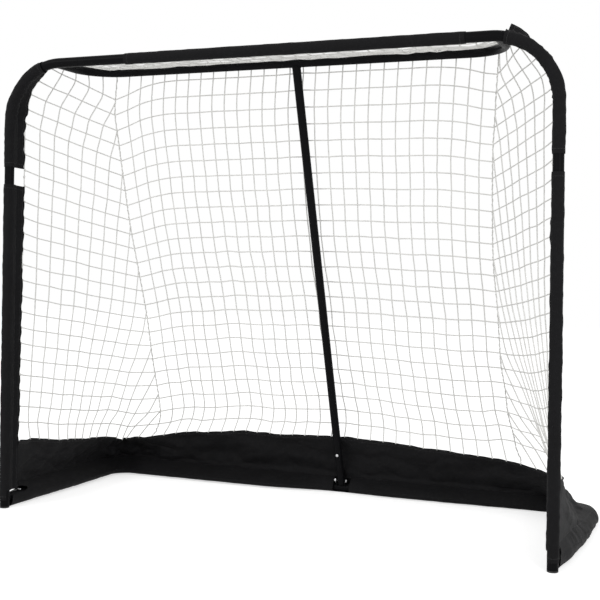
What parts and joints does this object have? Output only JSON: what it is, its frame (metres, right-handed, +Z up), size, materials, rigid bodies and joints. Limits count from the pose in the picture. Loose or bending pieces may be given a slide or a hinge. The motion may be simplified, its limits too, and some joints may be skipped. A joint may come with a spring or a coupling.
{
  "type": "floorball goal",
  "caption": "Knock-down goal of bent black steel tubes with snap buttons, a slanting strut behind, cloth sleeves, a low black floor band and a pale knotless net.",
  "frame": {"origin": "middle of the goal's outline on the floor", "axes": "+X to the right along the crossbar seen from the mouth, +Y from the mouth to the back, +Z up"},
  "size_m": [1.4872, 0.6062, 1.1883],
  "materials": {
    "powder_coat": "gloss black powder coat on steel tube",
    "plated_steel": "bright zinc plate",
    "black_plastic": "matt moulded plastic",
    "black_cloth": "matt woven polyester",
    "net_twine": "knotless pale grey twine"
  },
  "bodies": {
    "frame": {"post_left": "powder_coat", "post_right": "powder_coat", "corner_bend_left": "powder_coat", "corner_bend_right": "powder_coat", "roof_elbow_left": "powder_coat", "roof_elbow_right": "powder_coat", "base_side_left": "powder_coat", "base_side_right": "powder_coat", "crossbar": "powder_coat", "roof_rear_bar": "powder_coat", "base_rear_bar": "powder_coat", "strut_tube": "powder_coat", "strut_foot": "powder_coat", "foot_cap_left": "black_plastic", "foot_cap_right": "black_plastic", "strut_foot_bolt": "plated_steel", "strut_foot_nut": "plated_steel", "corner_sleeve_left": "black_cloth", "corner_sleeve_right": "black_cloth", "post_sleeve_left": "black_cloth", "post_sleeve_right": "black_cloth", "band_left": "black_cloth", "band_right": "black_cloth", "crossbar_sleeve": "black_cloth", "band_rear": "black_cloth", "seam_cord_left": "net_twine", "net_left": "net_twine", "net_corner_left": "net_twine", "seam_cord_right": "net_twine", "net_right": "net_twine", "net_corner_right": "net_twine", "net_rear": "net_twine", "net_roof": "net_twine", "post_button_spring_left": "plated_steel", "post_button_spring_right": "plated_steel", "crossbar_button_spring_left": "plated_steel", "crossbar_button_spring_right": "plated_steel", "arm_button_spring_left": "plated_steel", "arm_button_spring_right": "plated_steel", "base_button_spring_left": "plated_steel", "base_button_spring_right": "plated_steel", "strut_button_spring": "plated_steel"},
    "post_button_left": {"post_button_left": "plated_steel"},
    "post_button_right": {"post_button_right": "plated_steel"},
    "crossbar_button_left": {"crossbar_button_left": "plated_steel"},
    "crossbar_button_right": {"crossbar_button_right": "plated_steel"},
    "arm_button_left": {"arm_button_left": "plated_steel"},
    "arm_button_right": {"arm_button_right": "plated_steel"},
    "base_button_left": {"base_button_left": "plated_steel"},
    "base_button_right": {"base_button_right": "plated_steel"},
    "strut_button": {"strut_button": "plated_steel"}
  },
  "joints": [
    {"name": "post_button_left_press", "type": "slide", "parent": "frame", "child": "post_button_left", "axis": [0, -1, 0], "range_m": [0, 0.0042], "stiffness_N_per_m": 2000, "springref_m": -0.002, "deforming": ["post_button_spring_left"]},
    {"name": "post_button_right_press", "type": "slide", "parent": "frame", "child": "post_button_right", "axis": [0, -1, 0], "range_m": [0, 0.0042], "stiffness_N_per_m": 2000, "springref_m": -0.002, "deforming": ["post_button_spring_right"]},
    {"name": "crossbar_button_left_press", "type": "slide", "parent": "frame", "child": "crossbar_button_left", "axis": [0, -1, 0], "range_m": [0, 0.0042], "stiffness_N_per_m": 2000, "springref_m": -0.002, "deforming": ["crossbar_button_spring_left"]},
    {"name": "crossbar_button_right_press", "type": "slide", "parent": "frame", "child": "crossbar_button_right", "axis": [0, -1, 0], "range_m": [0, 0.0042], "stiffness_N_per_m": 2000, "springref_m": -0.002, "deforming": ["crossbar_button_spring_right"]},
    {"name": "arm_button_left_press", "type": "slide", "parent": "frame", "child": "arm_button_left", "axis": [0, 0, -1], "range_m": [0, 0.0042], "stiffness_N_per_m": 2000, "springref_m": -0.002, "deforming": ["arm_button_spring_left"]},
    {"name": "arm_button_right_press", "type": "slide", "parent": "frame", "child": "arm_button_right", "axis": [0, 0, -1], "range_m": [0, 0.0042], "stiffness_N_per_m": 2000, "springref_m": -0.002, "deforming": ["arm_button_spring_right"]},
    {"name": "base_button_left_press", "type": "slide", "parent": "frame", "child": "base_button_left", "axis": [0, -0.025, -0.9997], "range_m": [0, 0.0042], "stiffness_N_per_m": 2000, "springref_m": -0.002, "deforming": ["base_button_spring_left"]},
    {"name": "base_button_right_press", "type": "slide", "parent": "frame", "child": "base_button_right", "axis": [0, -0.025, -0.9997], "range_m": [0, 0.0042], "stiffness_N_per_m": 2000, "springref_m": -0.002, "deforming": ["base_button_spring_right"]},
    {"name": "strut_button_press", "type": "slide", "parent": "frame", "child": "strut_button", "axis": [0, 0.946, 0.3241], "range_m": [0, 0.0042], "stiffness_N_per_m": 2000, "springref_m": -0.002, "deforming": ["strut_button_spring"]}
  ]
}
